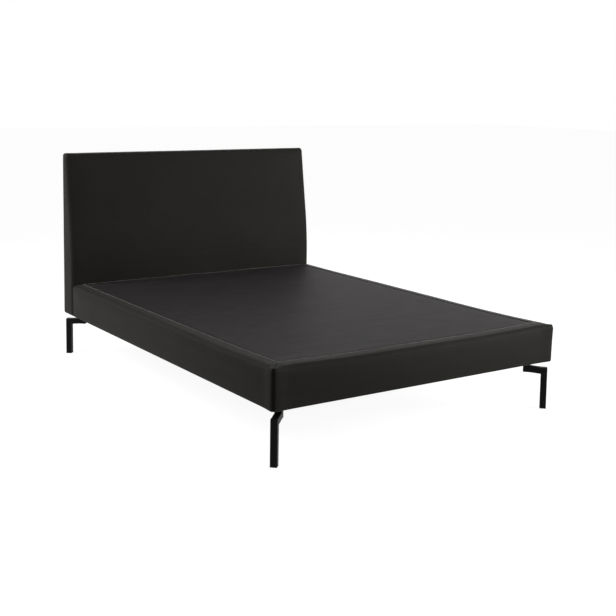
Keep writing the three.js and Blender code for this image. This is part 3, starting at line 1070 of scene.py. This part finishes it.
head = new_block(
    "headboard_block", (-base_side, base_joint, base_bottom), (base_side, head_back, head_top)
)
bpy.ops.object.mode_set(mode="EDIT")
cut_across(2, spaced(bend_start, bend_end, bend_cell))
bpy.ops.object.mode_set(mode="OBJECT")
for vertex in head.data.vertices:
    if vertex.co.y < base_joint + speck:
        vertex.co.y += face_back(vertex.co.z)


def head_radius(middle, along):
    on_back = middle.y >= head_back - speck
    if abs(middle.x) < base_side - speck:
        if middle.z > head_top - speck:
            return head_rolls["back" if on_back else "top_front"]
        if middle.z < base_bottom + speck:
            return head_rolls["back_foot" if on_back else "bottom"]
        return 0.0
    if middle.z > head_top - speck:
        return head_rolls["top_end"]
    if middle.z < base_bottom + speck or middle.y > head_back - speck:
        return head_rolls["back_end"]
    return head_rolls["front_end"] if abs(along.z) > 0.5 else 0.0


roll_edges(head, head_radius)
bpy.ops.object.mode_set(mode="EDIT")
cut_across(0, spaced(-base_side + head_hem, base_side - head_hem, head_cell))
cut_across(0, both([base_side - x for x in end_rows]))
cut_across(1, spaced(base_joint + head_hem, head_back - back_row, cell))
cut_across(2, spaced(base_bottom + foot_start, bend_start - foot_end, head_foot_cell))
cut_across(2, spaced(bend_end + face_start, head_top - head_hem, head_cell))
bpy.ops.object.mode_set(mode="OBJECT")

head_parts = ["front", "left", "right", "back"]
for name in head_parts:
    head.data.materials.append(bpy.data.materials.new("sort_head_" + name))
for face in head.data.polygons:
    x, y, z = face.center
    part = "front"
    if abs(face.normal.x) > 0.999:
        part = "left" if x < 0 else "right"
    elif (y > base_joint + head_hem and z < base_bottom + hair) or (
        y > head_back - head_rolls["back"] and z < head_top - head_hem
    ):
        part = "back" if abs(x) < base_side - head_hem else ("left" if x < 0 else "right")
    face.material_index = head_parts.index(part)


def head_held(place):
    x, y, z = place
    low = z < base_bottom + head_rolls["bottom"] + hair
    on_back = y > head_back - touch
    foot_roll = head_rolls["back_foot"] + speck
    on_foot_roll = y > head_back - foot_roll and z < base_bottom + foot_roll
    end_seam = abs(x) > base_side - 1e-5 and (
        y < base_joint + face_back(z) + head_rolls["front_end"] + speck
        or y > head_back - head_rolls["back_end"] - speck
        or z > head_top - head_rolls["top_end"] - speck
    )
    return low or on_back or on_foot_roll or end_seam


def head_crown_of(place):
    return end_crown if abs(place.x) > base_side - speck else head_crown


puff(head, head_held, head_crown_of)
uneven(head, depth=0.0018, size=0.26)

head_outward = {tuple(v.co): v.normal.copy() for v in head.data.vertices}
head_pieces = part_out(head)
front = head_pieces["front"]
head_turn = 0.004
for name in ("front", "left", "right"):
    turn_in(head_pieces[name], head_turn, head_outward)

# At the back's upper corners the hems lap: the end's under the top's, so that no gap is left there.
turned_edge = 0.007  # a turned edge lies within this of the back
front_lap = Vector((0, -0.001, -0.006))
front_lap_width = 0.010
hem_lap = Vector((0, -0.001, 0.004))
hem_corner = 0.005
end_corner = 0.003  # the end panel's upper corners reach out to the seam
corner_size = 0.006
end_top = head_top - head_rolls["top_end"]
end_front = base_joint + face_back(end_top) + head_rolls["front_end"]
end_back = head_back - head_rolls["back_end"]


def at_hem(y, z):
    return y > head_back - turned_edge and abs(z - head_top + head_hem) < touch


for vertex in front.data.vertices:
    x, y, z = vertex.co
    if at_hem(y, z) and abs(x) > base_side - front_lap_width:
        vertex.co += front_lap
finish_cover(
    front, "headboard_leather_front", leather_thickness, dark_leather
)
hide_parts("headboard_front_cover", "headboard_foam")
for name in ("left", "right"):
    end = head_pieces[name]
    for vertex in end.data.vertices:
        x, y, z = vertex.co
        if at_hem(y, z):
            vertex.co += hem_lap
            if abs(x) < base_side - head_hem + touch:
                vertex.co.x -= math.copysign(hem_corner, x)
        if abs(x) > base_side - corner_size and abs(z - end_top) < corner_size:
            if abs(y - end_back) < corner_size or abs(y - end_front) < corner_size:
                away = 1 if y > (end_front + end_back) / 2 else -1
                vertex.co += Vector((0, away * end_corner, end_corner))
    finish_cover(
        end, f"headboard_leather_{name}", leather_thickness, dark_leather
    )
    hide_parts(f"headboard_side_cover_{name}")

# Black spun lining closes the back and the underside, tucked under the turned edge of the leather.
back_lining = head_pieces["back"]
back_thickness = 0.001
tuck = 0.0025
corner_tuck = 0.010
for vertex in back_lining.data.vertices:
    at_side = abs(vertex.co.x) > base_side - head_hem - hair
    at_top = vertex.co.z > head_top - head_hem - hair
    reach = corner_tuck if at_side and at_top else tuck
    if at_side:
        vertex.co.x += math.copysign(reach, vertex.co.x)
    if at_top:
        vertex.co.z += reach
    if vertex.co.y < base_joint + head_hem + hair:
        vertex.co.y -= tuck
finish_cover(back_lining, "headboard_back_lining", back_thickness, black_lining)
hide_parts("headboard_back_cloth")

# ---------------------------------------------------------------- studio
# A white sweep under five soft discs: the main ones behind the left side, at the right front and far
# out on the right, a weak one for the headboard's face, and one from behind the head end.

camera_data = bpy.data.cameras.new("camera")
camera = bpy.data.objects.new("camera", camera_data)
bpy.context.scene.collection.objects.link(camera)
bpy.context.scene.camera = camera
camera_data.lens = 62.74
camera_data.sensor_width = 36
camera_data.shift_y = -0.16
turn = Matrix.Rotation(math.radians(-34.265), 4, "Z")
tip = Matrix.Rotation(math.radians(90 - 6.515), 4, "X")
tilt = Matrix.Rotation(math.radians(0.879), 4, "Z")
camera.matrix_world = Matrix.Translation((-2.966, -4.524, 1.495)) @ turn @ tip @ tilt


def light_and_show(end, lighting, shown):
    """Lights the scene with one shader, and shows another one to the camera and in reflections."""
    rays = end.id_data.nodes.new("ShaderNodeLightPath").outputs
    looked_at = rays["Is Camera Ray"]
    for kind in ("Is Glossy Ray", "Is Transmission Ray"):
        either = {0: looked_at, 1: rays[kind]}
        looked_at = add(end, "Math", "Value", either, operation="MAXIMUM")
    choice = {"Fac": looked_at, 1: lighting, 2: shown}
    feed(end, {"Surface": add(end, "MixShader", "Shader", choice)})


world = bpy.data.worlds.new("studio")
bpy.context.scene.world = world
world.use_nodes = True
nodes = world.node_tree.nodes
ambient = nodes["Background"]
feed(ambient, {"Color": (1, 1, 1, 1), "Strength": 0.15})
white = add(ambient, "Background", "Background", {"Color": (1, 1, 1, 1), "Strength": 1.0})
light_and_show(nodes["World Output"], ambient.outputs["Background"], white)


def lamp(name, place, target, size, watts):
    data = bpy.data.lights.new(name, "AREA")
    data.shape = "DISK"
    data.size = size
    data.energy = watts
    body = bpy.data.objects.new(name, data)
    body.location = place
    aim = Vector(target) - Vector(place)
    body.rotation_euler = aim.to_track_quat("-Z", "Y").to_euler()
    body.visible_camera = False
    bpy.context.scene.collection.objects.link(body)


lamp("left", (-2.4, 1.4, 1.8), (-0.6, 0.5, 0.4), 1.0, 36)
lamp("right_front", (2.4, -2.8, 0.8), (0.5, -1.0, 0.4), 1.2, 34)
lamp("right_far", (3.6, -3.0, 1.8), (0.5, 0.5, 0.6), 1.2, 82)
lamp("headboard", (2.2, 0.0, 1.6), (0.6, 1.0, 0.95), 0.8, 7)
lamp("behind", (1.5, 4.0, 2.6), (0.3, 0, 0.4), 2.4, 12)

bpy.ops.object.select_all(action="DESELECT")
bpy.ops.mesh.primitive_plane_add(size=60, location=(0, 0, 0))
floor = bpy.context.object
floor.name = "floor"
paper = bpy.data.materials.new("white_floor")
paper.use_nodes = True
nodes = paper.node_tree.nodes
nodes.remove(nodes["Principled BSDF"])
paper_end = nodes["Material Output"]
matt = add(paper_end, "BsdfDiffuse", "BSDF", {"Color": (0.4, 0.4, 0.4, 1)})
faint = add(paper_end, "BsdfDiffuse", "BSDF", {"Color": (0.30, 0.30, 0.30, 1)})
glow = add(paper_end, "Emission", "Emission", {"Strength": 0.93})
light_and_show(paper_end, matt, add(paper_end, "AddShader", "Shader", {0: faint, 1: glow}))
floor.data.materials.append(paper)

bpy.context.scene.view_settings.view_transform = "Standard"
